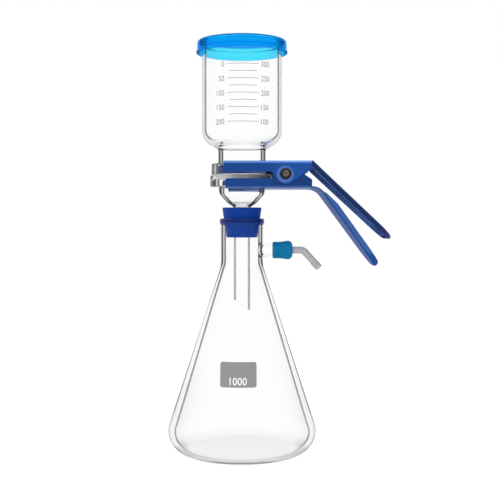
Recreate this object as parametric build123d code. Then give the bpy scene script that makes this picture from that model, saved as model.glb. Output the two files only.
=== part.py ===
from build123d import *
import os
from math import acos, atan2, cos, degrees, hypot, radians, sin, tan

UPWARDS = (Align.CENTER, Align.CENTER, Align.MIN)
DOWNWARDS = (Align.CENTER, Align.CENTER, Align.MAX)

# Vacuum filtration unit. Millimetres. +Z is up, the origin is the flask's axis at its base plane.
# The side arm and the clamp's handles point towards +X. The clamp opens towards -X.

# ---------------------------------------------------------------- flask
flask_base_r = 69.0            # widest radius, just above the base
flask_corner_r = 21.0          # outside radius between base and cone
flask_cone_angle = 18.1        # outside of the cone, from the axis
flask_height = 219.5           # base to mouth
flask_floor = 4.0              # thickness of the base
flask_inner_corner_r = 16.0
flask_inner_angle = 16.7       # inside of the cone, from the axis
flask_inner_lead = 3.7         # how much higher the inner cone meets the neck
flask_neck_r = 19.9
flask_neck_wall = 3.2
flask_shoulder_r = 14.0        # blend between cone and neck
flask_bead_r = 20.8            # rounded bead around the mouth
flask_bead_height = 6.0

# ---------------------------------------------------------------- stopper
stopper_top_r = 18.4
stopper_height = 27.8
stopper_angle = 8.0            # from the axis
stopper_above_mouth = 10.0

# ---------------------------------------------------------------- filter base (glass)
stem_r = 7.7
stem_wall = 1.1
stem_below_stopper = 68.7      # stopper's lower face to the stem's long tip
stem_tip_rise = 11.0           # the oblique cut rises this much across the stem
base_flange_r = 29.6
base_flange_height = 11.0
base_neck_r = 21.5
base_bowl_wall = 3.6
base_bowl_height = 19.0        # stopper's upper face to the flange's underside
base_throat_r = 11.4           # inner edge where the bowl turns into the stem
base_throat_height = 4.3       # that edge above the stopper
base_throat_wall = 1.8

# ---------------------------------------------------------------- frit
frit_r = 20.0
frit_thickness = 4.0
frit_clearance = 0.05

# ---------------------------------------------------------------- funnel cup (glass)
cup_flange_r = 28.4
cup_flange_height = 10.5
cup_neck_r = 22.0
cup_neck_wall = 2.7
cup_neck_height = 13.4         # flange to shoulder
cup_shoulder_height = 8.0      # neck to the corner between shoulder and wall
cup_shoulder_r = 16.0
cup_inner_shoulder_r = 13.0
cup_r = 36.9
cup_wall = 2.0
cup_height = 123.6             # ground face to rim
cup_rim_r = 39.6
cup_rim_height = 4.0
ground_bevel = 0.9             # bevel on the edges of both ground flanges

# ---------------------------------------------------------------- lid
lid_clearance = 0.3
lid_wall = 1.6
lid_top = 1.4
lid_skirt = 12.2               # overall height
lid_lip = 0.9                  # how far the lower lip stands out
lid_lip_height = 2.3
lid_edge_r = 3.0

# ---------------------------------------------------------------- clamp
sheet = 1.5                    # thickness of the folded sheet
fold_r = 2.2                   # outside radius of the folds
slot_clearance = 1.0           # between the fork and a glass neck
flange_side_clearance = 0.6    # between the lower flange and the inner lips
lever_gap = 0.3                # between the nested levers
pivot_x = 39.8
ear_r = 9.2
rod_r = 2.8
rod_clearance = 0.05
retainer_r = 5.1
retainer_thickness = 1.0
retainer_gap = 0.1
rod_stand_out = 0.8
rod_dimple_r = 1.1
upper_jaw_tip_x = -16.3
lower_jaw_tip_x = -14.8
upper_lip_depth = 10.0
lower_lip_depth = 8.6
lip_end_x = 63.6
lip_end_drop = 7.4             # height of the lips at their end by the handles
ear_start_x = 27.0
jaw_corner_r = 2.0
upper_bend_r = 1.0             # inside radius where the handle starts
upper_handle_angle = 43.0      # below horizontal
upper_handle_length = 100.5
upper_handle_lip = 3.4         # beyond the sheet
upper_lip_rise = 4.0           # the lip reaches its full height this far along the handle
lower_bend_r = 12.5
lower_handle_angle = 54.0
lower_handle_length = 83.5
lower_handle_lip = 3.9
lower_lip_rise = 15.0
handle_lip_root = 0.9          # height of the handle lips where they start
handle_taper = 0.78            # width at the tip as a share of the width at the bend
handle_tip_r = 21.0            # rounding of the handle's end, seen from above
handle_lip_end_r = 4.2         # rounding of the lips where they meet at the tip

# ---------------------------------------------------------------- clamp spring
spring_wire_r = 1.1
spring_rod_gap = 0.4
spring_turns = 6
spring_pitch = 2.9
spring_leg_x = 57.0
spring_seat_gap = 0.05

# ---------------------------------------------------------------- side arm, cap and nozzle
arm_z = 189.8
arm_r = 5.9
arm_bore_r = 4.2
arm_root_r = 7.8
arm_root_length = 5.0
arm_end_x = 41.6
seal_thickness = 1.8
nozzle_flange_r = 5.7
nozzle_flange_thickness = 1.7
cap_end_gap = 0.1
cap_end_wall = 2.0
cap_length = 18.6
cap_clearance = 0.45           # between the arm and the cap's bore, taken up by the thread
cap_mouth_r = 7.75
cap_waist_r = 7.85
cap_waist_at = 8.0             # from the mouth
cap_head_r = 8.85
cap_head_at = 13.9             # from the mouth
cap_head_round = 4.4
cap_ribs = 28
cap_rib_gap = 0.5
cap_groove_depth = 0.35
cap_rib_start = 1.6            # from the mouth
cap_rib_length = 14.0
nozzle_r = 3.3
nozzle_bore_r = 1.9
nozzle_hole_clearance = 0.25
nozzle_spigot = 3.0
nozzle_corner_x = 57.2
nozzle_bend_r = 7.0
nozzle_angle = 48.0            # below horizontal
nozzle_leg = 22.5
nozzle_barb_rise = 0.4
nozzle_barb_length = 2.2
nozzle_barbs = 3
nozzle_lead = 1.2              # plain end in front of the barbs

# ---------------------------------------------------------------- levels that follow from the sizes
stopper_top_z = flask_height + stopper_above_mouth
stopper_bottom_z = stopper_top_z - stopper_height
base_underside_z = stopper_top_z + base_bowl_height
ground_z = base_underside_z + base_flange_height
cup_flange_top_z = ground_z + cup_flange_height
cup_rim_z = ground_z + cup_height
lower_half_width = base_flange_r + flange_side_clearance + sheet
upper_half_width = lower_half_width + lever_gap + sheet
pivot_z = (base_underside_z + cup_flange_top_z) / 2 + 0.45


def ring_outline(corners):
    """Closed face in the XZ plane. Each corner is (r, z) or (r, z, fillet radius)."""
    points = [(c[0], c[1]) for c in corners]
    radii = [c[2] if len(c) > 2 else 0 for c in corners]
    return Plane.XZ * make_face(FilletPolyline(*points, radius=radii, close=True))


def turned(corners):
    """Solid of revolution about Z."""
    return revolve(ring_outline(corners), axis=Axis.Z)


def along_x(part):
    """Carries a part modelled along +Z onto the side arm's axis, pointing to +X."""
    return Location((0, 0, arm_z), (0, 90, 0)) * part


def stopper_r(z):
    """Radius of the stopper's cone at height z."""
    return stopper_top_r - (stopper_top_z - z) * tan(radians(stopper_angle))


# ---------------------------------------------------------------- glassware
def filter_flask():
    slope = tan(radians(flask_cone_angle))
    inner_slope = tan(radians(flask_inner_angle))
    foot_r = flask_base_r - flask_corner_r + flask_corner_r * (slope + 1 / cos(radians(flask_cone_angle)))
    shoulder_z = (foot_r - flask_neck_r) / slope
    bore_r = flask_neck_r - flask_neck_wall
    inner_shoulder_z = shoulder_z + flask_inner_lead
    inner_foot_r = bore_r + (inner_shoulder_z - flask_floor) * inner_slope
    seat_z = flask_height - (stopper_r(flask_height) - bore_r) / tan(radians(stopper_angle))
    body = turned([
        (0, 0),
        (foot_r, 0, flask_corner_r),
        (flask_neck_r, shoulder_z, flask_shoulder_r),
        (flask_neck_r, flask_height - flask_bead_height, 2.0),
        (flask_bead_r, flask_height - 0.7 * flask_bead_height, 2.0),
        (flask_bead_r, flask_height, 1.8),
        (stopper_r(flask_height), flask_height),
        (bore_r, seat_z),
        (bore_r, inner_shoulder_z, flask_shoulder_r),
        (inner_foot_r, flask_floor, flask_inner_corner_r),
        (0, flask_floor),
    ])
    arm_length = arm_end_x
    arm = along_x(Cylinder(arm_r, arm_length, align=UPWARDS))
    root_start = bore_r + 0.5 * flask_neck_wall
    root_length = flask_neck_r + arm_root_length - root_start
    root = along_x(Pos(0, 0, root_start) * Cone(arm_root_r, arm_r, root_length, align=UPWARDS))
    neck_hollow = Pos(0, 0, arm_z) * Cylinder(bore_r, 6 * arm_r)
    arm_bore = along_x(Cylinder(arm_bore_r, arm_length, align=UPWARDS))
    tube = arm + root - neck_hollow
    tube = fillet(tube.edges().filter_by(GeomType.CIRCLE).sort_by(Axis.X)[-1], 0.8)
    return body + tube - arm_bore


def flask_stopper():
    cone = turned([
        (stem_r, stopper_bottom_z),
        (stopper_r(stopper_bottom_z), stopper_bottom_z, 0.6),
        (stopper_top_r, stopper_top_z, 0.6),
        (stem_r, stopper_top_z),
    ])
    return cone


def filter_base():
    bore_r = stem_r - stem_wall
    tip_z = stopper_bottom_z - stem_below_stopper
    throat_z = stopper_top_z + base_throat_height
    bowl_r = base_neck_r - base_bowl_wall
    recess_z = ground_z - frit_thickness
    body = turned([
        (stem_r, tip_z),
        (stem_r, stopper_top_z + 0.2),
        (base_throat_r + base_throat_wall, throat_z - 0.3, 3.0),
        (base_neck_r, throat_z + 8.9, 9.0),
        (base_neck_r, base_underside_z, 1.0),
        (base_flange_r, base_underside_z, ground_bevel),
        (base_flange_r, ground_z, ground_bevel),
        (frit_r + frit_clearance, ground_z),
        (frit_r + frit_clearance, recess_z),
        (bowl_r, recess_z),
        (bowl_r, throat_z + 8.0, 6.0),
        (base_throat_r, throat_z, 0.5),
        (bore_r, throat_z - 2.6, 2.0),
        (bore_r, tip_z),
    ])
    cut_angle = degrees(atan2(stem_tip_rise, 2 * stem_r))
    cutter = Location((stem_r, 0, tip_z), (0, cut_angle, 0)) * Box(
        8 * stem_r, 4 * stem_r, 4 * stem_r, align=DOWNWARDS
    )
    return body - cutter


def frit_disc():
    return Pos(0, 0, ground_z) * Cylinder(frit_r, frit_thickness, align=DOWNWARDS)


def funnel_cup():
    neck_bore_r = cup_neck_r - cup_neck_wall
    shoulder_z = cup_flange_top_z + cup_neck_height
    inner_r = cup_r - cup_wall
    return turned([
        (neck_bore_r, ground_z),
        (cup_flange_r, ground_z, ground_bevel),
        (cup_flange_r, cup_flange_top_z, ground_bevel),
        (cup_neck_r, cup_flange_top_z, 1.0),
        (cup_neck_r, shoulder_z, 2.0),
        (cup_r, shoulder_z + cup_shoulder_height, cup_shoulder_r),
        (cup_r, cup_rim_z - cup_rim_height, 2.0),
        (cup_rim_r, cup_rim_z - 0.6 * cup_rim_height, 1.0),
        (cup_rim_r, cup_rim_z, 1.0),
        (inner_r, cup_rim_z, 0.8),
        (inner_r, shoulder_z + cup_shoulder_height + cup_wall, cup_inner_shoulder_r),
        (neck_bore_r, shoulder_z + 1.2 * cup_neck_wall, 3.0),
    ])


def cup_lid():
    inner_r = cup_rim_r + lid_clearance
    outer_r = inner_r + lid_wall
    top_z = cup_rim_z + lid_top
    bottom_z = top_z - lid_skirt
    return turned([
        (0, cup_rim_z),
        (inner_r, cup_rim_z, 0.8),
        (inner_r, bottom_z),
        (outer_r + lid_lip, bottom_z, 0.5),
        (outer_r + lid_lip, bottom_z + lid_lip_height, 0.5),
        (outer_r, bottom_z + lid_lip_height, 0.3),
        (outer_r, top_z, lid_edge_r),
        (0, top_z),
    ])


# ---------------------------------------------------------------- clamp
def tangent_point(x, z, side):
    """Where the line from (x, z) touches the ear's circle. side is 1 or -1, the way round from (x, z)."""
    direction = atan2(z - pivot_z, x - pivot_x)
    touch = direction + side * acos(ear_r / hypot(x - pivot_x, z - pivot_z))
    return (pivot_x + ear_r * cos(touch), pivot_z + ear_r * sin(touch))


def channel(half_width, depth, length, lips):
    """U-section along +X. The sheet's far face is at z = 0; lips is -1 for lips that go down, 1 for up."""
    outer = Rectangle(2 * half_width, depth, align=(Align.CENTER, Align.MIN))
    outer = fillet(outer.vertices().group_by(Axis.Y)[0], fold_r)
    inner = Pos(0, sheet) * Rectangle(2 * (half_width - sheet), depth, align=(Align.CENTER, Align.MIN))
    inner = fillet(inner.vertices().group_by(Axis.Y)[0], fold_r - sheet)
    section = Plane.YZ * (outer - inner)
    solid = extrude(section, amount=length)
    return solid if lips > 0 else mirror(solid, Plane.XY)


def side_prism(face):
    """A side view, drawn in X and Z, as a prism right across the clamp."""
    return extrude(Plane.XZ * face, amount=2 * upper_half_width, both=True)


def jaw(half_width, plate_z, lips, tip_x, lip_depth, neck_r):
    """Fork, lips and ears of a lever. plate_z is the sheet's outer face."""
    lip_z = plate_z + lips * lip_depth
    end_z = plate_z + lips * lip_end_drop
    ear_side = -lips
    reach = lips * (pivot_z + lips * ear_r - plate_z)
    strip = make_face(FilletPolyline(
        (tip_x, plate_z), (tip_x, lip_z), (ear_start_x, lip_z), (ear_start_x, plate_z),
        radius=[0, jaw_corner_r, 0, 0], close=True,
    ))
    ear = Pos(pivot_x, pivot_z) * Circle(ear_r)
    front_touch = tangent_point(ear_start_x, lip_z, ear_side)
    rear_touch = tangent_point(lip_end_x, end_z, -ear_side)
    web = make_face(Polyline(
        (ear_start_x, plate_z), (ear_start_x, lip_z), front_touch, (pivot_x, pivot_z),
        rear_touch, (lip_end_x, end_z), (lip_end_x, plate_z), close=True,
    ))
    profile = strip + ear + web
    body = Pos(tip_x, 0, plate_z) * channel(half_width, reach, lip_end_x - tip_x, lips)
    body = body & side_prism(profile)
    slot_r = neck_r + slot_clearance
    slot = Pos(0, 0, plate_z) * (
        Cylinder(slot_r, 4 * sheet)
        + Box(2 * abs(tip_x), 2 * slot_r, 4 * sheet, align=(Align.MAX, Align.CENTER, Align.CENTER))
    )
    hole = Pos(pivot_x, 0, pivot_z) * Rot(90, 0, 0) * Cylinder(rod_r + rod_clearance, 4 * half_width)
    return body - slot - hole


def handle_plan(half_width, length, start=0.0):
    """The handle seen from above: it narrows from the bend to a rounded tip."""
    tip_half_width = half_width * handle_taper
    slope = (half_width - tip_half_width) / length
    wide = half_width - slope * start
    plan = make_face(Polyline(
        (start, -wide), (length, -tip_half_width), (length, tip_half_width), (start, wide), close=True,
    ))
    return fillet(plan.vertices().group_by(Axis.X)[-1], handle_tip_r)


def handle_tray(half_width, length, lip, lip_rise):
    """The straight part of a handle, along +X, as a shallow tray with its outer face at z = 0."""
    height = sheet + lip
    tray = extrude(handle_plan(half_width, length), amount=height)
    outline = tray.edges().group_by(Axis.Z)[0].filter_by(lambda edge: edge.center().X > 0.01)
    tray = fillet(outline, fold_r)
    hollow_plan = Pos(-sheet, 0) * handle_plan(half_width - sheet, length, -sheet)
    hollow = Pos(0, 0, sheet) * extrude(hollow_plan, amount=height)
    side = make_face(FilletPolyline(
        (0, 0), (0, sheet + handle_lip_root), (lip_rise, height), (length, height), (length, 0),
        radius=[0, 0, lip, handle_lip_end_r, 0], close=True,
    ))
    return (tray - hollow) & side_prism(side)


def handle(half_width, angle, length, lips, lip, lip_rise, start_x, plate_z, bend_r):
    """Bend and handle of a lever. plate_z is the underside of the sheet where the bend starts."""
    centre_z = plate_z - bend_r
    section = Pos(start_x, 0, plate_z + sheet / 2) * (Plane.YZ * Rectangle(2 * half_width, sheet))
    bend_axis = Axis((start_x, 0, centre_z), (0, 1, 0))
    bend = revolve(section, axis=bend_axis, revolution_arc=angle)
    end_x = start_x + bend_r * sin(radians(angle))
    end_z = centre_z + bend_r * cos(radians(angle))
    tray = handle_tray(half_width, length, lip, lip_rise)
    if lips < 0:
        tray = Pos(0, 0, sheet) * mirror(tray, Plane.XY)
    return bend + Location((end_x, 0, end_z), (0, angle, 0)) * tray


def clamp_upper_lever():
    plate_z = cup_flange_top_z + sheet
    fork = jaw(upper_half_width, plate_z, -1, upper_jaw_tip_x, upper_lip_depth, cup_neck_r)
    grip = handle(
        upper_half_width, upper_handle_angle, upper_handle_length, -1,
        upper_handle_lip, upper_lip_rise, lip_end_x, cup_flange_top_z, upper_bend_r,
    )
    return fork + grip


def clamp_lower_lever():
    plate_z = base_underside_z - sheet
    fork = jaw(lower_half_width, plate_z, 1, lower_jaw_tip_x, lower_lip_depth, base_neck_r)
    grip = handle(
        lower_half_width, lower_handle_angle, lower_handle_length, 1,
        lower_handle_lip, lower_lip_rise, lip_end_x, plate_z, lower_bend_r,
    )
    return fork + grip


def clamp_pivot_rod():
    half_length = upper_half_width + retainer_gap + retainer_thickness + rod_stand_out
    rod = Cylinder(rod_r, 2 * half_length)
    rod = fillet(rod.edges(), 0.5)
    for end in (-1, 1):
        rod -= Pos(0, 0, end * half_length) * Sphere(rod_dimple_r)
    return Pos(pivot_x, 0, pivot_z) * Rot(90, 0, 0) * rod


def clamp_retainer(side):
    """Push-on retainer with a raised collar. side is -1 for the front and 1 for the rear."""
    face_y = upper_half_width + retainer_gap
    ring = turned([
        (rod_r, 0),
        (retainer_r, 0, 0.2),
        (retainer_r, 0.6 * retainer_thickness, 0.2),
        (rod_r + 0.9, retainer_thickness, 0.2),
        (rod_r, retainer_thickness),
    ])
    return Pos(pivot_x, side * face_y, pivot_z) * Rot(-90 * side, 0, 0) * ring


def clamp_spring():
    """Torsion spring on the rod. Its legs push the two levers apart behind the pivot."""
    coil_r = rod_r + spring_rod_gap + spring_wire_r
    seat_offset = spring_wire_r + spring_seat_gap
    upper_seat = (spring_leg_x, cup_flange_top_z - seat_offset)
    lower_seat = (spring_leg_x, base_underside_z + seat_offset)

    def leave_angle(seat, side):
        dx, dz = seat[0] - pivot_x, seat[1] - pivot_z
        return atan2(dz, dx) + side * acos(coil_r / hypot(dx, dz))

    start = degrees(leave_angle(lower_seat, -1))
    end = degrees(leave_angle(upper_seat, 1))
    turns = spring_turns + ((start - end) % 360) / 360
    width = turns * spring_pitch
    plane = Plane(
        origin=(pivot_x, -width / 2, pivot_z),
        x_dir=(cos(radians(start)), 0, sin(radians(start))),
        z_dir=(0, 1, 0),
    )
    coil = plane * Helix(pitch=spring_pitch, height=width, radius=coil_r)

    def leg_end(point, direction, seat):
        """Follows the coil's end in a straight line until it stands at the seat's X."""
        return point + direction * ((seat[0] - point.X) / direction.X)

    lower_end = leg_end(coil @ 0, coil % 0, lower_seat)
    upper_end = leg_end(coil @ 1, coil % 1, upper_seat)
    path = Wire([Line(lower_end, coil @ 0), coil.edge(), Line(coil @ 1, upper_end)])
    wire = Plane(origin=lower_end, z_dir=coil % 0) * Circle(spring_wire_r)
    return sweep(wire, path=path)


# ---------------------------------------------------------------- side arm fittings
def hose_seal_ring():
    ring = Pos(0, 0, arm_end_x) * Cylinder(nozzle_flange_r, seal_thickness, align=UPWARDS)
    hole = Pos(0, 0, arm_end_x) * Cylinder(nozzle_r + 0.1, 3 * seal_thickness)
    return along_x(ring - hole)


def hose_screw_cap():
    end_x = arm_end_x + seal_thickness + nozzle_flange_thickness + cap_end_gap + cap_end_wall
    mouth_x = end_x - cap_length
    bore_r = arm_r + cap_clearance
    hole_r = nozzle_r + nozzle_hole_clearance

    def shell(inset):
        """The cap with its outside set in by this much."""
        return turned([
            (bore_r, mouth_x),
            (cap_mouth_r - inset, mouth_x, 1.0 - inset),
            (cap_waist_r - inset, mouth_x + cap_waist_at, 20.0),
            (cap_head_r - inset, mouth_x + cap_head_at, 2.0),
            (cap_head_r - inset, end_x, cap_head_round),
            (hole_r, end_x),
            (hole_r, end_x - cap_end_wall),
            (bore_r, end_x - cap_end_wall),
        ])

    groove = Pos(bore_r, 0, mouth_x + cap_rib_start) * Box(
        cap_head_r, cap_rib_gap, cap_rib_length, align=(Align.MIN, Align.CENTER, Align.MIN)
    ) - shell(cap_groove_depth)
    cap = shell(0)
    for k in range(cap_ribs):
        cap -= Rot(0, 0, 360 * k / cap_ribs) * groove
    return along_x(cap)


def hose_nozzle():
    flange_x = arm_end_x + seal_thickness
    start_x = flange_x - nozzle_spigot
    direction = Vector(cos(radians(nozzle_angle)), 0, -sin(radians(nozzle_angle)))
    corner = Vector(nozzle_corner_x, 0, arm_z)
    tip = corner + direction * nozzle_leg
    path = FilletPolyline((start_x, 0, arm_z), corner, tip, radius=nozzle_bend_r)
    start_plane = Plane(origin=path @ 0, z_dir=path % 0)
    nozzle = sweep(start_plane * Circle(nozzle_r), path=path)
    nozzle += along_x(Pos(0, 0, flange_x) * Cylinder(
        nozzle_flange_r, nozzle_flange_thickness, align=UPWARDS
    ))
    for k in range(nozzle_barbs):
        base = tip - direction * (nozzle_lead + (k + 1) * nozzle_barb_length)
        nozzle += Plane(origin=base, z_dir=direction) * Cone(
            nozzle_r + nozzle_barb_rise, nozzle_r, nozzle_barb_length,
            align=UPWARDS,
        )
    return nozzle - sweep(start_plane * Circle(nozzle_bore_r), path=path)


parts = {
    "filter_flask": filter_flask(),
    "flask_stopper": flask_stopper(),
    "filter_base": filter_base(),
    "frit_disc": frit_disc(),
    "funnel_cup": funnel_cup(),
    "cup_lid": cup_lid(),
    "clamp_upper_lever": clamp_upper_lever(),
    "clamp_lower_lever": clamp_lower_lever(),
    "clamp_pivot_rod": clamp_pivot_rod(),
    "clamp_retainer_front": clamp_retainer(-1),
    "clamp_retainer_rear": clamp_retainer(1),
    "clamp_spring": clamp_spring(),
    "hose_seal_ring": hose_seal_ring(),
    "hose_screw_cap": hose_screw_cap(),
    "hose_nozzle": hose_nozzle(),
}

os.makedirs("parts", exist_ok=True)
for name, part in parts.items():
    export_step(part, f"parts/{name}.step")
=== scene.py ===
import math

import bmesh
import bpy
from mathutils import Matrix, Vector

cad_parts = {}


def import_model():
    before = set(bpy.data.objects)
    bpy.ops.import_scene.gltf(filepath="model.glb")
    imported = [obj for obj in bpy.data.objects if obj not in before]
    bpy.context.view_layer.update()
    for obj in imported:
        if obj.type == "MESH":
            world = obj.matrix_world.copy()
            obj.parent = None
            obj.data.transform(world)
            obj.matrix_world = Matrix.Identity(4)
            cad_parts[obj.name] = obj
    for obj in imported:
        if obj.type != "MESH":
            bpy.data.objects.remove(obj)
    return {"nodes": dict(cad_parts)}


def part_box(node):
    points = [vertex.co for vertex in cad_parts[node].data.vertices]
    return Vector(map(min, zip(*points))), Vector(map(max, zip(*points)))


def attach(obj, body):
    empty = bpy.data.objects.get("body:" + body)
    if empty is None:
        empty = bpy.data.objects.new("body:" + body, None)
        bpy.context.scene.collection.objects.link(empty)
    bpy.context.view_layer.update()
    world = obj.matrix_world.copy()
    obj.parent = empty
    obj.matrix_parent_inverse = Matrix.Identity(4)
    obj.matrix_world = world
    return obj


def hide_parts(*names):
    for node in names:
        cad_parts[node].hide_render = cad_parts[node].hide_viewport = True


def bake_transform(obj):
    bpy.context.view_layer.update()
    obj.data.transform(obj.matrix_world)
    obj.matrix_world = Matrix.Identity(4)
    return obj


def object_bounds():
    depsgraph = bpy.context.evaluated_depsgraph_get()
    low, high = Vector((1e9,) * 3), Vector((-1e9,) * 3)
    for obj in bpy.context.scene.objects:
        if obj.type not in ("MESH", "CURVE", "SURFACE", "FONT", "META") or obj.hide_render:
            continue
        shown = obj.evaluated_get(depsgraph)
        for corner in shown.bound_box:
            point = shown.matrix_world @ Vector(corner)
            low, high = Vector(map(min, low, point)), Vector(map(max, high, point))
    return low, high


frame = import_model()
cad_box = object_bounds()
nodes = frame["nodes"]
MM = 0.001
EDGE_SPLIT = math.radians(32)          # faces that meet at more than this keep a sharp edge

# ------------------------------------------------------------------ places on the object
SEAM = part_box("funnel_cup")[0][2]      # height where cup and base meet
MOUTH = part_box("filter_flask")[1][2]   # height of the flask's mouth
STEM_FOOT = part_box("filter_base")[0][2]
STEM_TOP = 231 * MM                    # below this the base's glass is its stem
ARM_X, ARM_Z = 21.5 * MM, 170 * MM     # past and above these the flask's glass is its side arm
HANDLE_X = 63.6 * MM                   # where the levers bend into their handles

# ------------------------------------------------------------------ glass
THIN_IOR = 1.15                        # thin walls bend what is behind them only a little
THICK_IOR = 1.47                       # solid rims bend it as much as real glass
BEAD_IOR = 1.32                        # enough to fill the bead with the stopper's blue, with less glare
UNDERSIDE_IOR = 1.02                   # lets light out to the floor instead of trapping it
LID_IOR = 1.1                          # the lid's thin plastic bends it less still
LINE_SPREAD = 0.08                     # from a painted dark line's start to its full depth, as a share of facing
VEIL = 0.03                            # painted shade: how much all glass darkens towards its contours
TRAPPED = 0.995                        # light counts as trapped in the wall, and gets painted shade, if more than this is reflected
CLEAR = (0.998, 0.999, 0.999)
# colour of the painted dark lines and painted shade on glass
LINE_COLOUR = (0.02, 0.022, 0.025)
GLASS_SHADOW = (0.98, 0.985, 0.99)     # tint of the lamp light that clear glass lets through
GROUND_SHADOW = (0.8, 0.8, 0.8)
LID_SHADOW = (0.4, 0.8, 0.95)
GLASS_ATTRIBUTES = ("line_start", "line_depth", "painted_grey", "core", "soft_edge")

# Where a smooth band begins, is full, is still full and ends
FOOT_BAND = (0.0, 1.5 * MM, 4 * MM, 9 * MM)                # painted grey shade at the lower corner, from the floor up
LOW_BAND = (6 * MM, 20 * MM, 40 * MM, 130 * MM)            # stronger painted outer lines, from the floor up
BEAD_BAND = (0.6 * MM, 1.6 * MM, 3.6 * MM, 4.6 * MM)       # painted dark shade in the middle of the bead, from the mouth down
COLLAR_BAND = (4.6 * MM, 5.6 * MM, 6.4 * MM, 8.6 * MM)     # painted highlight of the collar round the pivot, from its middle outwards
UPPER_FOLD_BAND = (-2.6 * MM, -1.6 * MM, -1.1 * MM, -0.1 * MM)    # painted highlight along the upper lever's top fold, from its top
LOWER_FOLD_BAND = (0.1 * MM, 0.5 * MM, 0.9 * MM, 1.6 * MM)        # painted highlight along the lower lever's bottom fold, from its underside

FOOT_EDGE = (30 * MM, 50 * MM)         # radii between which the foot's painted grey shade comes in
SOFT_END = (45 * MM, 100 * MM)         # heights between which the flask's painted soft shade at its contours goes
BOWL_RING = (233.74 * MM, 234 * MM)    # heights of the painted grey ring inside the bowl
COLLAR_SHIFT = 0.6 * MM                # the middle of the collar's painted highlight is this far left of and below the rod's

# ------------------------------------------------------------------ faces with another material
GROUND_BAND = 1.0 * MM                 # height of the ground faces and their bevels, each side of the seam
CUT_HEIGHT = 25 * MM                   # the stem's slanting cut is all within this height of its foot
FLANGE_R = (24 * MM, 31 * MM)          # radii between which the flanges are thick glass
CUP_FLANGE, BASE_FLANGE = 9 * MM, 11 * MM                  # their heights above and below the seam
UNDERSIDE = 1.6 * MM                   # height of the flask's underside with its edge
BEAD_R = (16.8 * MM, 24 * MM)
BEAD_HEIGHT = 8 * MM
TIGHT_R = (16.4 * MM, 17.2 * MM)       # where the stopper lies tight against the mouth
TIGHT_DEPTH = (2.2 * MM, 0.01 * MM)
SLOPE = 0.3                            # a face looks up or down if its normal does so by more than this

# ------------------------------------------------------------------ print
PRINT_LIFT = 0.06 * MM                 # how far printed marks stand off the glass
PRINT_THICKNESS = 0.03 * MM

# ------------------------------------------------------------------ room, floor and camera
ROOM_FRONT = 0.4                       # brightness of the room behind the camera
ROOM_BACK = 1.0                        # brightness of the room behind the object
ROOM_TOP = 1.6                         # brightness of the ceiling
FLOOR_GLOW = 0.86                      # the floor's own white, seen by the camera
FLOOR_SHARE = 0.22                     # the floor's diffuse colour on top of that
FLOOR_BOUNCE = 0.75                    # the floor's diffuse colour for light that bounces off it
FLOOR_MIRRORED = 0.7                   # how bright the floor is in reflections
FLOOR_REACH = 6.0                      # half the floor's side, in metres
FLOOR_GAP = 0.05 * MM                  # keeps the floor clear of the flask's underside
WHITE = (1.0, 1.0, 1.0)
EYE = (7.5 * MM, -935 * MM, 217.9 * MM)
LOOKS_DOWN = 1.718                     # degrees


def box_middle(name):
    """Middle of a node's box."""
    return [(low + high) / 2 for low, high in zip(*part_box(name))]


def srgb(*values):
    """Linear colour from 0-255 screen values."""
    return tuple(((v / 255 + 0.055) / 1.055) ** 2.4 if v > 10.3 else v / 255 / 12.92 for v in values)


def darker(colour, share):
    """The colour with this share of its brightness."""
    return tuple(share * part for part in colour)


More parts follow.
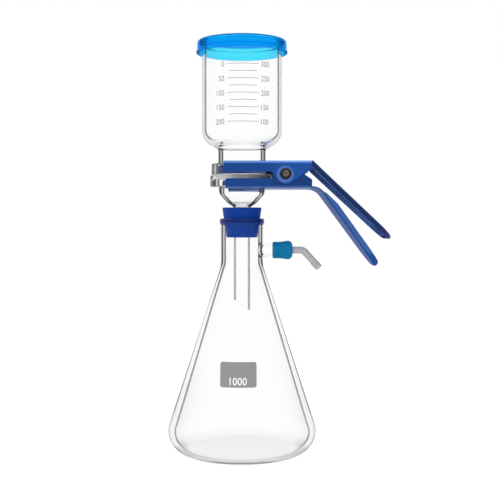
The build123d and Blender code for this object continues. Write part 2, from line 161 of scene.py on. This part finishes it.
# ------------------------------------------------------------------ node helpers
class Tree:
    """The node tree of a material or world, with short calls for adding and joining nodes."""

    def __init__(self, owner, output="ShaderNodeOutputMaterial"):
        owner.use_nodes = True
        self.owner = owner
        self.tree = owner.node_tree
        self.tree.nodes.clear()
        self.output = self.node(output)

    def put(self, socket, value):
        """Joins another node's output to a socket, or puts a number, a colour or a vector on it."""
        if isinstance(value, bpy.types.NodeSocket):
            self.tree.links.new(value, socket)
        elif socket.type == "RGBA":
            socket.default_value = (*value, 1.0)
        else:
            socket.default_value = value

    def node(self, kind, **values):
        """A new node. Each value is a setting of the node or, with _ for a space, an input."""
        node = self.tree.nodes.new(kind)
        for key, value in values.items():
            if hasattr(node, key):
                setattr(node, key, value)
            else:
                self.put(node.inputs[key.replace("_", " ")], value)
        return node

    def add(self, kind, output=0, **values):
        """The output of a new node, by number or name."""
        return self.node(kind, **values).outputs[output]

    def math(self, operation, a, b=0.0):
        node = self.node("ShaderNodeMath", operation=operation)
        for socket, value in zip(node.inputs, (a, b)):
            self.put(socket, value)
        return node.outputs[0]

    def mix(self, factor, a, b):
        """Mix of two colours."""
        node = self.node("ShaderNodeMix", data_type="RGBA")
        for index, value in ((0, factor), (6, a), (7, b)):
            self.put(node.inputs[index], value)
        return node.outputs[2]

    def mix_shaders(self, factor, first, second):
        """The first shader where the factor is 0 and the second where it is 1."""
        node = self.node("ShaderNodeMixShader")
        for socket, value in zip(node.inputs, (factor, first, second)):
            self.put(socket, value)
        return node.outputs[0]

    def ramp(self, value, low, high, start=0.0, end=1.0):
        """Runs smoothly from start, where the value is low, to end, where it is high."""
        return self.add("ShaderNodeMapRange", interpolation_type="SMOOTHSTEP", Value=value,
                        From_Min=low, From_Max=high, To_Min=start, To_Max=end)

    def peak(self, value, low, full, still_full, high):
        """0 below low, 1 from full to still_full, 0 above high."""
        fall = self.ramp(value, still_full, high, 1.0, 0.0)
        return self.math("MULTIPLY", self.ramp(value, low, full), fall)

    def noise(self, scale, detail=3.0, stretch=(1, 1, 1)):
        """Noise in object space; scale is in features per metre."""
        place = self.add("ShaderNodeTexCoord", "Object")
        place = self.add("ShaderNodeMapping", Vector=place, Scale=stretch)
        return self.add("ShaderNodeTexNoise", Vector=place, Scale=scale, Detail=detail)

    def bump(self, height, strength, distance, radius=None):
        """Bumps of a height, on edges that are rounded where a radius is given."""
        node = self.node("ShaderNodeBump", Height=height, Strength=strength, Distance=distance)
        if radius:
            self.put(node.inputs["Normal"], self.add("ShaderNodeBevel", samples=4, Radius=radius))
        return node.outputs[0]

    def through_for_lamps(self, shader, tint):
        """Lets lamp light through, tinted, so that what stands behind glass is lit."""
        shadow = self.add("ShaderNodeLightPath", "Is Shadow Ray")
        return self.mix_shaders(shadow, shader, self.add("ShaderNodeBsdfTransparent", Color=tint))

    def finish(self, shader):
        """The material or world, with this shader on its output."""
        self.put(self.output.inputs["Surface"], shader)
        return self.owner

    def principled(self, **values):
        """The material with a principled shader on its output."""
        return self.finish(self.add("ShaderNodeBsdfPrincipled", **values))


def material_tree(name):
    return Tree(bpy.data.materials.new(name))


# ------------------------------------------------------------------ materials
def clear_glass(name, ior):
    """Clear glass with painted dark contours, told by the attributes of the mesh.

    Where a wall is seen edge on it shows a painted dark line: line_start says how nearly edge on
    that begins and line_depth how dark the line is. painted_grey says how much painted grey shade
    the glass has all over, soft_edge how much painted shade darkens it towards its contours besides
    the line, and core how dark the painted shade is where light is trapped in the wall.
    """
    t = material_tree(name)
    facing = t.add("ShaderNodeLayerWeight", "Facing", Blend=0.5)
    start, depth, painted_grey, core, soft = (t.add("ShaderNodeAttribute", "Fac", attribute_name=attribute)
                                      for attribute in GLASS_ATTRIBUTES)
    share = t.math("DIVIDE", t.math("SUBTRACT", facing, start), LINE_SPREAD)
    share = t.math("MINIMUM", t.math("MAXIMUM", share, 0.0), 1.0)
    line = t.math("MULTIPLY", share, depth)
    veil = t.math("MULTIPLY", t.math("POWER", facing, 1.5), VEIL)
    veil = t.math("ADD", veil, t.math("MULTIPLY", t.math("POWER", facing, 3.0), soft))
    shade = t.math("MINIMUM", t.math("ADD", t.math("ADD", line, veil), painted_grey), 1.0)
    # the painted lines and painted shade darken the glass's colour towards LINE_COLOUR
    colour = t.mix(shade, CLEAR, LINE_COLOUR)
    body = t.add("ShaderNodeBsdfRefraction", IOR=ior, Roughness=0.0, Color=colour)
    fresnel = t.add("ShaderNodeFresnel", IOR=ior)
    # painted shade where light is trapped in the wall
    trapped = t.math("MULTIPLY", t.math("GREATER_THAN", fresnel, TRAPPED), core)
    gloss = t.add("ShaderNodeBsdfGlossy", Roughness=0.0, Color=t.mix(trapped, colour, LINE_COLOUR))
    return t.finish(t.through_for_lamps(t.mix_shaders(fresnel, body, gloss), GLASS_SHADOW))


def ground_glass(name, whiteness):
    t = material_tree(name)
    glass = t.add("ShaderNodeBsdfGlass", IOR=THICK_IOR, Roughness=0.45, Color=(0.9, 0.91, 0.92))
    frost = t.add("ShaderNodeBsdfDiffuse", Color=darker((0.98, 0.99, 1.0), whiteness))
    return t.finish(t.through_for_lamps(t.mix_shaders(0.35, glass, frost), GROUND_SHADOW))


def sintered_glass():
    t = material_tree("sintered_glass")
    grain = t.noise(2600, 4)
    return t.principled(Base_Color=t.mix(grain, (0.78, 0.79, 0.78), (0.93, 0.93, 0.92)), Roughness=0.8,
                        Subsurface_Weight=0.2, Subsurface_Radius=(0.002, 0.002, 0.002),
                        Normal=t.bump(grain, 0.6, 0.2 * MM))


def blue_silicone():
    t = material_tree("blue_silicone")
    colour = t.mix(t.noise(90, 3), srgb(8, 54, 142), srgb(14, 64, 156))
    return t.principled(Base_Color=colour, Roughness=0.5, IOR=1.3, Specular_IOR_Level=0.2,
                        Normal=t.bump(t.noise(2400, 2), 0.15, 0.1 * MM))


def lid_plastic():
    """Translucent azure plastic. Every wall that light passes tints it once more."""
    t = material_tree("lid_plastic")
    edge = t.math("POWER", t.add("ShaderNodeLayerWeight", "Facing", Blend=0.5), 2.0)
    tint = t.mix(edge, (0.28, 0.9, 1.0), (0.0, 0.28, 0.88))
    body = t.add("ShaderNodeBsdfRefraction", IOR=LID_IOR, Roughness=0.03, Color=tint)
    haze = t.add("ShaderNodeBsdfDiffuse", Color=srgb(0, 140, 245))
    gloss = t.add("ShaderNodeBsdfGlossy", Roughness=0.1, Color=(0.25, 0.75, 1.0))
    fresnel = t.add("ShaderNodeFresnel", IOR=LID_IOR)
    shader = t.mix_shaders(fresnel, t.mix_shaders(0.04, body, haze), gloss)
    return t.finish(t.through_for_lamps(shader, LID_SHADOW))


def painted_highlights(t, x, z):
    """Painted highlights on the collar pressed into the ears round the pivot and along the folds."""
    pivot_x, _, pivot_z = box_middle("clamp_pivot_rod")
    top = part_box("clamp_upper_lever")[1][2]
    bottom = min(v.co.z for v in nodes["clamp_lower_lever"].data.vertices if v.co.x < pivot_x)
    along = t.math("POWER", t.math("SUBTRACT", x, pivot_x - COLLAR_SHIFT), 2.0)
    up = t.math("POWER", t.math("SUBTRACT", z, pivot_z - COLLAR_SHIFT), 2.0)
    from_middle = t.math("SQRT", t.math("ADD", along, up))
    collar = t.math("MULTIPLY", t.peak(from_middle, *COLLAR_BAND), 0.55)
    upper_fold = t.math("MULTIPLY", t.peak(z, *(top + height for height in UPPER_FOLD_BAND)), 0.6)
    lower_fold = t.math("MULTIPLY", t.peak(z, *(bottom + height for height in LOWER_FOLD_BAND)), 0.3)
    before_handles = t.ramp(x, HANDLE_X - 1 * MM, HANDLE_X, 1.0, 0.0)
    folds = t.math("MULTIPLY", t.math("MAXIMUM", upper_fold, lower_fold), before_handles)
    return t.math("MAXIMUM", folds, collar)


def blue_anodised(name, coat):
    """Blue anodised, with painted shade towards the jaws. painted_shading: 1 is painted navy, -1 painted
    pale.
    """
    t = material_tree(name)
    streaks = t.noise(400, 3, (1, 0.12, 1))
    place = t.node("ShaderNodeSeparateXYZ", Vector=t.add("ShaderNodeTexCoord", "Object"))
    x, _, z = place.outputs
    painted_shading = t.add("ShaderNodeAttribute", "Fac", attribute_name="painted_shading")
    # painted shade (navy) and painted light (pale) from the attribute painted_shading
    navy = t.math("MULTIPLY", t.math("MAXIMUM", painted_shading, 0.0), t.ramp(x, 18 * MM, 36 * MM, 0.27, 1.0))
    pale = t.math("MAXIMUM", t.math("MULTIPLY", painted_shading, -1.0), 0.0)
    body = t.mix(streaks, srgb(26, 84, 174), srgb(38, 102, 197))
    # painted shade, darker towards the jaws
    body = t.mix(t.ramp(x, 10 * MM, 45 * MM, 0.3, 0.0), body, srgb(10, 40, 100))
    handle = t.mix(streaks, srgb(30, 78, 154), srgb(42, 94, 174))
    blue = t.mix(t.ramp(x, HANDLE_X - 4 * MM, HANDLE_X), body, handle)
    blue = t.mix(navy, blue, srgb(8, 24, 66))
    blue = t.mix(pale, blue, srgb(150, 200, 255))
    # painted highlights on the collar and the folds
    blue = t.mix(painted_highlights(t, x, z), blue, srgb(120, 165, 235))
    return t.principled(Base_Color=blue, Metallic=0.7, Roughness=0.34, Specular_Tint=(0.3, 0.45, 0.8),
                        Coat_Weight=coat, Coat_Roughness=0.2)


def metal(name, colour, roughness, metallic=1.0):
    """Metal with a faint grain and slightly rounded edges."""
    t = material_tree(name)
    grain = t.noise(3000, 2, (1, 1, 0.1))
    return t.principled(Base_Color=t.mix(grain, darker(colour, 0.85), colour), Metallic=metallic,
                        Roughness=roughness, Normal=t.bump(grain, 0.1, 0.03 * MM, 0.12 * MM))


def moulded(name, dark, light, roughness):
    """Moulded plastic with faint mottling."""
    t = material_tree(name)
    mottle = t.noise(500, 3)
    return t.principled(Base_Color=t.mix(mottle, dark, light), Roughness=roughness, IOR=1.35,
                        Specular_IOR_Level=0.25, Normal=t.bump(mottle, 0.1, 0.08 * MM))


def ink(name, colour):
    """Baked enamel print, a little uneven."""
    t = material_tree(name)
    return t.principled(Base_Color=t.mix(t.noise(1500, 3), darker(colour, 0.9), colour), Roughness=0.55)


GLASS = clear_glass("clear_glass", THIN_IOR)
THICK_GLASS = clear_glass("thick_glass", THICK_IOR)
BEAD_GLASS = clear_glass("bead_glass", BEAD_IOR)
UNDERSIDE_GLASS = clear_glass("underside_glass", UNDERSIDE_IOR)
GROUND = ground_glass("ground_glass", 0.87)
CUT_GLASS = ground_glass("cut_glass", 0.3)
MATT_BLUE = blue_anodised("matt_blue", 0.0)
SCALE_INK = ink("scale_ink", srgb(128, 130, 134))
PATCH_INK = ink("patch_ink", srgb(140, 141, 142))
WHITE_INK = ink("white_ink", srgb(244, 244, 244))
MATERIALS = {
    "filter_flask": GLASS,
    "filter_base": GLASS,
    "funnel_cup": GLASS,
    "frit_disc": sintered_glass(),
    "flask_stopper": blue_silicone(),
    "cup_lid": lid_plastic(),
    "clamp_upper_lever": blue_anodised("blue_anodised", 0.35),
    "clamp_pivot_rod": metal("pin_steel", (0.3, 0.28, 0.25), 0.22),
    "clamp_retainer_front": metal("black_steel", (0.012, 0.012, 0.014), 0.35, 0.3),
    # the spring steel's blue tinge is a painted reflection of the blue levers
    "clamp_spring": metal("spring_steel", (0.4, 0.45, 0.53), 0.3),
    "hose_seal_ring": moulded("seal_silicone", (0.74, 0.74, 0.72), (0.82, 0.82, 0.8), 0.5),
    "hose_screw_cap": moulded("cap_plastic", srgb(0, 112, 160), srgb(4, 132, 180), 0.42),
    "hose_nozzle": moulded("nozzle_plastic", srgb(174, 172, 175), srgb(192, 189, 192), 0.5),
}
MATERIALS["clamp_lower_lever"] = MATERIALS["clamp_upper_lever"]
MATERIALS["clamp_retainer_rear"] = MATERIALS["clamp_retainer_front"]


def dress(name, material):
    mesh = nodes[name].data
    mesh.materials.clear()
    mesh.materials.append(material)
    mesh.shade_smooth()
    mesh.set_sharp_from_angle(angle=EDGE_SPLIT)


for node_name, node_material in MATERIALS.items():
    dress(node_name, node_material)


# ------------------------------------------------------------------ glass attributes
def between(value, low, high):
    """0 below low, 1 above high, smooth in between."""
    x = min(max((value - low) / (high - low), 0.0), 1.0)
    return x * x * (3 - 2 * x)


def peak(value, low, full, still_full, high):
    """0 below low, 1 from full to still_full, 0 above high."""
    return between(value, low, full) * (1 - between(value, still_full, high))


def facing_at(r, width):
    """Facing at this distance in from the contour of a round wall of radius r."""
    across = max(1 - width / r, 0.0)
    return 1 - math.sqrt(1 - across ** 2)


def look(line_start, line_depth, painted_grey=0.0, core=0.0, soft_edge=0.0):
    """Values for clear_glass at one point of a mesh, in the order of GLASS_ATTRIBUTES."""
    return (line_start, line_depth, painted_grey, core, soft_edge)


def glass_lines(name, looks):
    """Stores the attributes of clear_glass. looks(r, co, inner, level) gives a look."""
    mesh = nodes[name].data
    for attribute in GLASS_ATTRIBUTES:
        mesh.attributes.new(attribute, "FLOAT", "POINT")
    layers = [mesh.attributes[attribute].data for attribute in GLASS_ATTRIBUTES]
    for vertex, normal in zip(mesh.vertices, mesh.vertex_normals):
        co = vertex.co
        r = math.hypot(co.x, co.y)
        outwards = (normal.vector.x * co.x + normal.vector.y * co.y) / max(r, 1e-6)
        level = abs(normal.vector.z)
        inner = outwards < -0.2 or (abs(outwards) <= 0.2 and normal.vector.z > 0.5)
        for layer, value in zip(layers, looks(r, co, inner, level)):
            layer[vertex.index].value = value


def flask_looks(r, co, inner, level):
    """The bead has a painted dark middle; the lower corner has soft painted grey shade, least at the rear.

    The side arm and the flat floor have hardly a painted line.
    """
    if co.x > ARM_X and co.z > ARM_Z:
        return look(0.7, 0.2, core=0.1)
    steep = 1 - between(level, 0.5, 0.95)
    if inner:
        # painted soft shade towards the inner contours, fading out higher up
        return look(facing_at(r, 2.0 * MM), 0.88 * steep, soft_edge=0.2 * (1 - between(co.z, *SOFT_END)))
    # painted grey shade at the foot, less towards the rear
    rearwards = between(co.y / max(r, 1e-6), -0.1, 0.5)
    foot = (0.32 - 0.28 * rearwards) * between(r, *FOOT_EDGE) * peak(co.z, *FOOT_BAND)
    # painted dark shade in the bead's middle
    bead = 0.4 * peak(MOUTH - co.z, *BEAD_BAND)
    low = peak(co.z, *LOW_BAND)
    return look(facing_at(r, 1.2 * MM), (0.1 + 0.35 * low) * steep, foot + bead)


def base_looks(r, co, inner, level):
    """Nearly black painted lines, and a painted grey ring inside the bowl where its wall meets the way to
    the stem.
    """
    if co.z < STEM_TOP:
        return look(0.42, 0.55) if inner else look(0.75, 0.15)
    steep = 1 - between(level, 0.6, 0.98)
    if inner:
        # painted grey ring
        ring = 0.35 if BOWL_RING[0] < co.z < BOWL_RING[1] else 0.0
        return look(facing_at(r, 1.8 * MM), 0.97 * steep, ring, 0.35)
    return look(facing_at(r, 1.0 * MM), 0.3 * steep, core=0.2)


def cup_looks(r, co, inner, level):
    """The neck has nearly black painted lines and the wide part grey painted ones."""
    steep = 1 - between(level, 0.6, 0.98)
    neck = 1 - between(r, 23 * MM, 27 * MM)
    if inner:
        return look(facing_at(r, 2.2 * MM), (0.82 + 0.16 * neck) * steep, core=0.14 + 0.23 * neck)
    return look(facing_at(r, 1.0 * MM), 0.3 * steep, core=0.1)


glass_lines("filter_flask", flask_looks)
glass_lines("filter_base", base_looks)
glass_lines("funnel_cup", cup_looks)


# ------------------------------------------------------------------ faces with another material
def give(name, material, chosen):
    """Gives a material to the faces of a node for which chosen(centre, normal) holds."""
    mesh = nodes[name].data
    if material.name not in mesh.materials:
        mesh.materials.append(material)
    slot = mesh.materials.find(material.name)
    for face in mesh.polygons:
        if chosen(face.center, face.normal):
            face.material_index = slot


def ring_of(low, high, r_low, r_high):
    """Chooses the faces of a turned node between two heights and two radii."""
    def chosen(centre, normal):
        return low < centre.z < high and r_low < math.hypot(centre.x, centre.y) < r_high
    return chosen


def at_seam(centre, normal):
    """The flat faces and bevels at the seam between base and cup."""
    return abs(centre.z - SEAM) < GROUND_BAND and abs(normal.z) > SLOPE


def at_cut(centre, normal):
    """The slanting cut at the stem's foot."""
    return centre.z < STEM_FOOT + CUT_HEIGHT and normal.z < -SLOPE


def upper_painted_shading(centre, normal):
    """Painted shade, navy, on the outside of the handle's lips, and painted light, pale, in its tray."""
    if centre.x < HANDLE_X:
        return 0.0
    if (normal.z < -SLOPE and normal.x < -0.2) or normal.y * centre.y < -0.5 * abs(centre.y):
        return -0.75
    return 0.75 if abs(normal.y) > 0.5 else 0.3


def lower_painted_shading(centre, normal):
    """Painted navy shade on the sides before the handle, a little painted light on the handle except its
    underside.
    """
    if centre.x > HANDLE_X:
        return 0.0 if normal.z < -SLOPE else -0.12
    return 0.45 if abs(normal.y) > 0.5 else 0.0


def store_painted_shading(name, share):
    """Stores the attribute painted_shading of blue_anodised, face by face. share(centre, normal) gives it.
    """
    mesh = nodes[name].data
    layer = mesh.attributes.new("painted_shading", "FLOAT", "FACE").data
    for face in mesh.polygons:
        layer[face.index].value = share(face.center, face.normal)


give("funnel_cup", THICK_GLASS, ring_of(SEAM, SEAM + CUP_FLANGE, *FLANGE_R))
give("filter_base", THICK_GLASS, ring_of(SEAM - BASE_FLANGE, SEAM, *FLANGE_R))
give("filter_flask", UNDERSIDE_GLASS, lambda centre, normal: centre.z < UNDERSIDE)
give("filter_flask", BEAD_GLASS, ring_of(MOUTH - BEAD_HEIGHT, MOUTH + 1 * MM, *BEAD_R))
give("filter_base", GROUND, at_seam)
give("funnel_cup", GROUND, at_seam)
give("filter_base", CUT_GLASS, at_cut)
# where the stopper lies tight against the mouth its blue shows through the glass
give("filter_flask", MATERIALS["flask_stopper"],
     ring_of(MOUTH - TIGHT_DEPTH[0], MOUTH - TIGHT_DEPTH[1], *TIGHT_R))
store_painted_shading("clamp_upper_lever", upper_painted_shading)
store_painted_shading("clamp_lower_lever", lower_painted_shading)
give("clamp_upper_lever", MATT_BLUE, lambda centre, normal: upper_painted_shading(centre, normal) < 0)
give("clamp_lower_lever", MATT_BLUE, lambda centre, normal: centre.x > HANDLE_X and normal.z < -SLOPE)


# ------------------------------------------------------------------ new pieces
def outside_r(name, z):
    """Radius of a turned node's outside at height z."""
    rays = 48
    found = []
    for k in range(rays):
        angle = math.tau * (k + 0.3) / rays
        way = Vector((math.cos(angle), math.sin(angle), 0))
        hit, place, _, _ = nodes[name].ray_cast(way + Vector((0, 0, z)), -way)
        if hit:
            found.append(math.hypot(place.x, place.y))
    return max(sorted(found)[: rays // 2])


def cone_between(name, low, high):
    """Radius as a function of height, straight between two heights."""
    r_low, r_high = outside_r(name, low), outside_r(name, high)
    return lambda z: r_low + (r_high - r_low) * (z - low) / (high - low)


def new_piece(name, bm, material, body=None, smooth=EDGE_SPLIT):
    """A visible piece from a bmesh, which rides on a body if one is given."""
    bmesh.ops.recalc_face_normals(bm, faces=bm.faces)
    mesh = bpy.data.meshes.new(name)
    bm.to_mesh(mesh)
    bm.free()
    mesh.materials.append(material)
    mesh.shade_smooth()
    mesh.set_sharp_from_angle(angle=smooth)
    piece = bpy.data.objects.new(name, mesh)
    bpy.context.scene.collection.objects.link(piece)
    if body:
        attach(piece, body)
    return piece


def skin(bm, rings, closed=False):
    """Faces from each ring of vertices to the next, and back to the first or with both ends capped."""
    count = len(rings[0])
    following = rings[1:] + rings[:1] if closed else rings[1:]
    for a, b in zip(rings, following):
        for k in range(count):
            after = (k + 1) % count
            bm.faces.new((a[k], a[after], b[after], b[k]))
    if not closed:
        bm.faces.new(rings[0])
        bm.faces.new(rings[-1])


def flat_sheet(bm, left, right, low, high, corner, columns):
    """Thin closed sheet in the flat: X across, Y up, Z its thickness. Its corners are rounded."""
    rows = []
    for k in range(columns + 1):
        u = left + (right - left) * (1 - math.cos(math.pi * k / columns)) / 2
        inside = max(corner - min(u - left, right - u), 0.0)
        drop = corner - math.sqrt(max(corner ** 2 - inside ** 2, 0.0))
        foot, top = low + drop, high - drop
        section = ((foot, 0), (top, 0), (top, PRINT_THICKNESS), (foot, PRINT_THICKNESS))
        rows.append([bm.verts.new((u, v, w)) for v, w in section])
    skin(bm, rows)


def flat_number(bm, text, height, x, low, align, narrow=1.0, weight=0.0):
    """A number in the flat, height high, with its left, right or middle at x and its foot at low."""
    curve = bpy.data.curves.new("number", "FONT")
    curve.body = text
    curve.extrude = 0.01
    curve.offset = weight
    curve.resolution_u = 4
    holder = bpy.data.objects.new("number", curve)
    mesh = bpy.data.meshes.new_from_object(holder)
    bpy.data.objects.remove(holder)
    bpy.data.curves.remove(curve)
    xs = [v.co.x for v in mesh.vertices]
    ys = [v.co.y for v in mesh.vertices]
    scale = height / (max(ys) - min(ys))
    anchor = {"LEFT": min(xs), "RIGHT": max(xs), "MIDDLE": (min(xs) + max(xs)) / 2}[align]
    for v in mesh.vertices:
        v.co = (x + (v.co.x - anchor) * scale * narrow, low + (v.co.y - min(ys)) * scale,
                PRINT_THICKNESS * (0.0 if v.co.z < 0 else 1.0))
    bm.from_mesh(mesh)
    bpy.data.meshes.remove(mesh)


def wrap(bm, radius, lift):
    """Bends what was drawn in the flat round the front of a turned piece."""
    for v in bm.verts:
        r = radius(v.co.y)
        angle = v.co.x / r
        out = r + lift + v.co.z
        v.co = (out * math.sin(angle), -out * math.cos(angle), v.co.y)


def cup_scale():
    """Nine bars on the cup's front, with the volume poured out on the left and left over on the right."""
    low = SEAM + 47.0 * MM
    bars, step, line = 9, 6.45 * MM, 0.45 * MM
    long_half, short_half = 14.7 * MM, 12.65 * MM
    left_end, right_start = -17.5 * MM, 16.8 * MM
    height, narrow = 4.9 * MM, 0.9
    off_middle = 1.4 * MM
    numbers = (("200", "100"), ("150", "150"), ("100", "200"), ("50", "250"), ("0", "300"))
    bm = bmesh.new()
    for k in range(bars):
        half = long_half if k % 2 == 0 else short_half
        z = low + k * step
        flat_sheet(bm, -half, half, z - line / 2, z + line / 2, 0.2 * line, 16)
    for k, (left, right) in enumerate(numbers):
        foot = low + 2 * k * step - 0.55 * height
        flat_number(bm, left, height, left_end, foot, "RIGHT", narrow)
        flat_number(bm, right, height, right_start, foot, "LEFT", narrow)
    for v in bm.verts:
        v.co.x += off_middle
    wrap(bm, cone_between("funnel_cup", low, low + (bars - 1) * step), PRINT_LIFT)
    new_piece("cup_scale", bm, SCALE_INK, "glassware")


def flask_label():
    """Grey patch on the flask's front with the volume in white."""
    low, high = 69.5 * MM, 91.3 * MM
    middle, half = -3.0 * MM, 16.5 * MM
    corner = 2.2 * MM
    height, digits_up = 6.6 * MM, 1.9 * MM
    cone = cone_between("filter_flask", low, high)
    bm = bmesh.new()
    flat_sheet(bm, middle - half, middle + half, low, high, corner, 40)
    wrap(bm, cone, PRINT_LIFT)
    new_piece("label_patch", bm, PATCH_INK, "glassware")
    bm = bmesh.new()
    flat_number(bm, "1000", height, middle, low + digits_up, "MIDDLE", narrow=0.95, weight=0.012)
    wrap(bm, cone, PRINT_LIFT + 1.6 * PRINT_THICKNESS)
    new_piece("label_digits", bm, WHITE_INK, "glassware")


def spring():
    """The torsion spring's wire, a smooth-shaded copy of its CAD node, which it hides."""
    bm = bmesh.new()
    bm.from_mesh(nodes["clamp_spring"].data)
    wire = new_piece("spring_wire", bm, MATERIALS["clamp_spring"], smooth=math.radians(50))
    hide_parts("clamp_spring")
    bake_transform(wire)


def pressed_ring():
    """The stopper's silicone where the flask's mouth squeezes it flat against the glass."""
    top = MOUTH - 1.9 * MM
    foot = top - 3.4 * MM
    bore, depth, into_glass = 16.7 * MM, 0.5 * MM, 0.04 * MM
    inside, outside = bore - depth, bore + into_glass
    steps = 128
    bm = bmesh.new()
    rings = []
    for k in range(steps):
        angle = math.tau * k / steps
        out = Vector((math.cos(angle), math.sin(angle), 0))
        corners = ((inside, foot), (outside, foot), (outside, top), (inside, top))
        rings.append([bm.verts.new(out * r + Vector((0, 0, z))) for r, z in corners])
    skin(bm, rings, closed=True)
    new_piece("pressed_silicone", bm, MATERIALS["flask_stopper"], "glassware")


def arm_thread():
    """Rounded glass ridge that winds round the end of the side arm, under the screw cap."""
    arm_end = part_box("hose_seal_ring")[0][0]
    _, _, axis_z = box_middle("hose_seal_ring")
    arm_r, crest, width = 5.9 * MM, 0.34 * MM, 1.3 * MM
    pitch, turns, steps = 2.5 * MM, 3.5, 40
    end_turn = 0.3
    start = arm_end - 1.6 * MM - pitch * turns
    # across as a share of the width, and height as a share of the crest
    profile = ((-0.5, -0.25), (-0.3, 0.55), (0.0, 1.0), (0.3, 0.55), (0.5, -0.25))
    bm = bmesh.new()
    rings = []
    for k in range(round(turns * steps) + 1):
        turned = k / steps
        angle = math.tau * turned
        fade = between(turned, 0.0, end_turn) * between(turns - turned, 0.0, end_turn)
        ring = []
        for across, height in profile:
            x = start + pitch * turned + across * width
            r = arm_r + crest * (height * fade if height > 0 else height)
            ring.append(bm.verts.new((x, -r * math.sin(angle), axis_z + r * math.cos(angle))))
        rings.append(ring)
    skin(bm, rings)
    new_piece("arm_thread", bm, GLASS, "glassware", smooth=math.radians(80))


bpy.context.view_layer.update()
cup_scale()
flask_label()
spring()
pressed_ring()
arm_thread()


# ------------------------------------------------------------------ stage, light and camera
def floor_material():
    """White that keeps the shadow. In glass it is plain white, and in reflections a little darker."""
    t = material_tree("floor")
    path = t.node("ShaderNodeLightPath").outputs

    def glow(strength):
        return t.add("ShaderNodeEmission", Strength=strength)

    def diffuse(grey):
        return t.add("ShaderNodeBsdfDiffuse", Color=(grey, grey, grey))

    seen = t.node("ShaderNodeAddShader")
    t.put(seen.inputs[0], glow(FLOOR_GLOW))
    t.put(seen.inputs[1], diffuse(FLOOR_SHARE))
    shader = t.mix_shaders(path["Is Glossy Ray"], diffuse(FLOOR_BOUNCE), glow(FLOOR_MIRRORED))
    shader = t.mix_shaders(path["Is Transmission Ray"], shader, glow(1.0))
    shader = t.mix_shaders(path["Is Camera Ray"], shader, seen.outputs[0])
    return t.finish(shader)


def stage():
    """The floor, a little below the flask's underside."""
    mesh = bpy.data.meshes.new("floor")
    square = ((-1, -1), (1, -1), (1, 1), (-1, 1))
    corners = [(x * FLOOR_REACH, y * FLOOR_REACH, -FLOOR_GAP) for x, y in square]
    mesh.from_pydata(corners, [], [(0, 1, 2, 3)])
    mesh.materials.append(floor_material())
    floor = bpy.data.objects.new("floor", mesh)
    bpy.context.scene.collection.objects.link(floor)


def world():
    """White behind the object. The room that lights it is darker in front and bright behind and above."""
    t = Tree(bpy.data.worlds.new("studio"), "ShaderNodeOutputWorld")
    way = t.add("ShaderNodeTexCoord", "Generated")
    _, y, z = t.node("ShaderNodeSeparateXYZ", Vector=way).outputs
    behind = t.ramp(y, -0.9, 0.5, ROOM_FRONT, ROOM_BACK)
    above = t.ramp(z, 0.25, 0.85, ROOM_FRONT, ROOM_TOP)
    room = t.add("ShaderNodeBackground", Color=WHITE, Strength=t.math("MAXIMUM", behind, above))
    white = t.add("ShaderNodeBackground", Color=WHITE)
    path = t.node("ShaderNodeLightPath").outputs
    shader = t.mix_shaders(path["Is Transmission Ray"], room, white)
    shader = t.mix_shaders(path["Is Camera Ray"], shader, white)
    bpy.context.scene.world = t.finish(shader)


def lamp(name, offset, size, power):
    """Lamp that looks at the object's middle from an offset. Neither glass nor gloss shows it."""
    middle = (cad_box[0] + cad_box[1]) / 2
    data = bpy.data.lights.new(name, "AREA")
    data.shape = "RECTANGLE"
    data.size, data.size_y = size
    data.energy = power
    light = bpy.data.objects.new(name, data)
    light.location = middle + Vector(offset)
    light.rotation_euler = (-Vector(offset)).to_track_quat("-Z", "Y").to_euler()
    light.visible_transmission = False
    light.visible_glossy = False
    bpy.context.scene.collection.objects.link(light)


def camera():
    """Eye at about half height, a little right of the axis, looking slightly down."""
    data = bpy.data.cameras.new("camera")
    data.sensor_width = 36
    data.lens = 72
    eye = bpy.data.objects.new("camera", data)
    eye.location = EYE
    eye.rotation_euler = (math.radians(90 - LOOKS_DOWN), 0, 0)
    bpy.context.scene.collection.objects.link(eye)
    bpy.context.scene.camera = eye


stage()
world()
lamp("key", (-0.7, -0.9, 0.75), (0.7, 0.9), 3.0)
lamp("fill", (0.9, -0.8, 0.3), (0.6, 1.0), 1.2)
lamp("top", (0.0, 0.2, 1.2), (0.9, 0.9), 1.5)
camera()
bpy.context.scene.view_settings.view_transform = "Standard"
